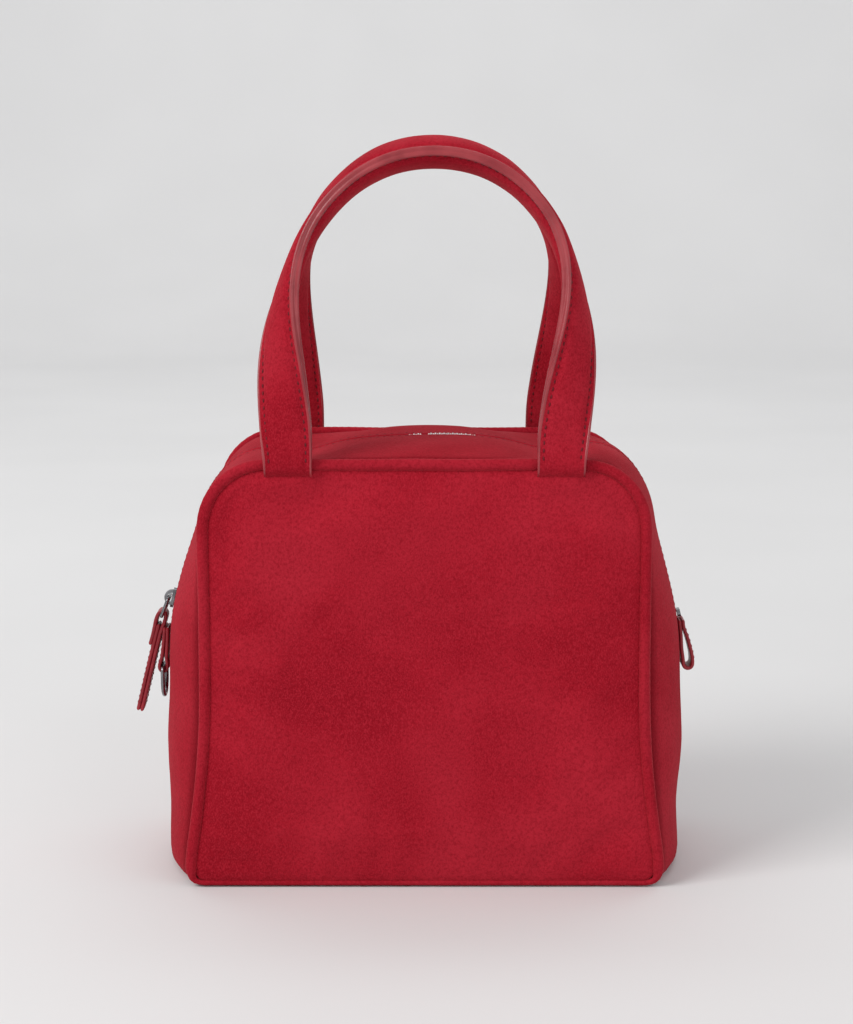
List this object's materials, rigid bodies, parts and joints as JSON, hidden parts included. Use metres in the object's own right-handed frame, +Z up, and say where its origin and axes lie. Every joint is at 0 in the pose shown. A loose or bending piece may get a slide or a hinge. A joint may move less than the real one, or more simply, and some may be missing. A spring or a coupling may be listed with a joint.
{
  "type": "zip-top handbag",
  "caption": "Small suede bag with piped panels, a bulging gusset, a zip over the top, padded twisted handles, a hanging leather pull and side tabs.",
  "frame": {"origin": "on the floor under the middle of the base", "axes": "+Z up, +X to the right of someone facing the front, the front panel faces -Y"},
  "size_m": [0.2469, 0.117, 0.3171],
  "materials": {
    "suede_body": "matt napped suede",
    "suede_piping": "matt napped suede",
    "suede_handle": "matt napped suede with painted edges",
    "trim_leather": "satin, painted edges",
    "lining_cloth": "plain woven cloth",
    "zip_tape": "woven tape",
    "zip_teeth": "nickel-plated",
    "dark_nickel": "polished dark nickel",
    "board": "bonded fibre board",
    "padding": "foam"
  },
  "bodies": {
    "shell": {"front_panel": "suede_body", "back_panel": "suede_body", "front_piping": "suede_piping", "back_piping": "suede_piping", "side_gusset_left": "suede_body", "side_gusset_right": "suede_body", "base_panel": "suede_body", "front_stiffener": "board", "back_stiffener": "board", "base_board": "board", "lining_front": "lining_cloth", "lining_back": "lining_cloth", "lining_left": "lining_cloth", "lining_right": "lining_cloth", "lining_base": "lining_cloth", "slip_pocket": "lining_cloth", "zip_strip_front_left": "suede_body", "zip_strip_front_right": "suede_body", "zip_strip_back_left": "suede_body", "zip_strip_back_right": "suede_body", "zip_tape_front_left": "zip_tape", "zip_tape_front_right": "zip_tape", "zip_tape_back_left": "zip_tape", "zip_tape_back_right": "zip_tape", "zip_chain_left": "zip_teeth", "zip_chain_right": "zip_teeth", "zip_stop": "dark_nickel", "handle_root_front_left": "suede_handle", "handle_root_front_right": "suede_handle", "handle_root_back_left": "suede_handle", "handle_root_back_right": "suede_handle", "tab_left": "trim_leather", "tab_right": "trim_leather"},
    "lip_front": {"zip_strip_front_top": "suede_body", "zip_tape_front_top": "zip_tape", "zip_chain_front_top": "zip_teeth"},
    "lip_back": {"zip_strip_back_top": "suede_body", "zip_tape_back_top": "zip_tape", "zip_chain_back_top": "zip_teeth"},
    "slider": {"slider_plate": "dark_nickel", "slider_bail": "dark_nickel"},
    "link": {"pull_link": "dark_nickel"},
    "pull": {"pull_leather": "trim_leather"},
    "handle_front": {"handle_front_outer": "suede_handle", "handle_front_inner": "suede_handle", "handle_front_core": "padding"},
    "handle_back": {"handle_back_outer": "suede_handle", "handle_back_inner": "suede_handle", "handle_back_core": "padding"},
    "ring": {"ring_left": "dark_nickel"}
  },
  "joints": [
    {"name": "handle_front_fold", "type": "hinge", "parent": "shell", "child": "handle_front", "pos_m": [0, -0.0564, 0.1806], "axis": [1, 0, 0], "range_deg": [0, 165]},
    {"name": "handle_back_fold", "type": "hinge", "parent": "shell", "child": "handle_back", "pos_m": [0, 0.0564, 0.1806], "axis": [-1, 0, 0], "range_deg": [0, 165]},
    {"name": "lip_front_open", "type": "hinge", "parent": "shell", "child": "lip_front", "pos_m": [0, -0.0482, 0.1823], "axis": [1, 0, 0], "range_deg": [0, 60]},
    {"name": "lip_back_open", "type": "hinge", "parent": "shell", "child": "lip_back", "pos_m": [0, 0.0482, 0.1823], "axis": [-1, 0, 0], "range_deg": [0, 60]},
    {"name": "zip_slide", "type": "slide", "parent": "shell", "child": "slider", "axis": [0.2283, 0, 0.9736], "range_m": [0, 0.018]},
    {"name": "link_swing", "type": "hinge", "parent": "slider", "child": "link", "pos_m": [-0.11292, 0, 0.11615], "axis": [0, 1, 0], "range_deg": [0, 100]},
    {"name": "pull_swing", "type": "hinge", "parent": "link", "child": "pull", "pos_m": [-0.116, 0, 0.10812], "axis": [0, 1, 0], "range_deg": [0, 60]},
    {"name": "ring_swing", "type": "hinge", "parent": "shell", "child": "ring", "pos_m": [-0.11561, 0, 0.08517], "axis": [0, 1, 0], "range_deg": [-4, 14]}
  ]
}
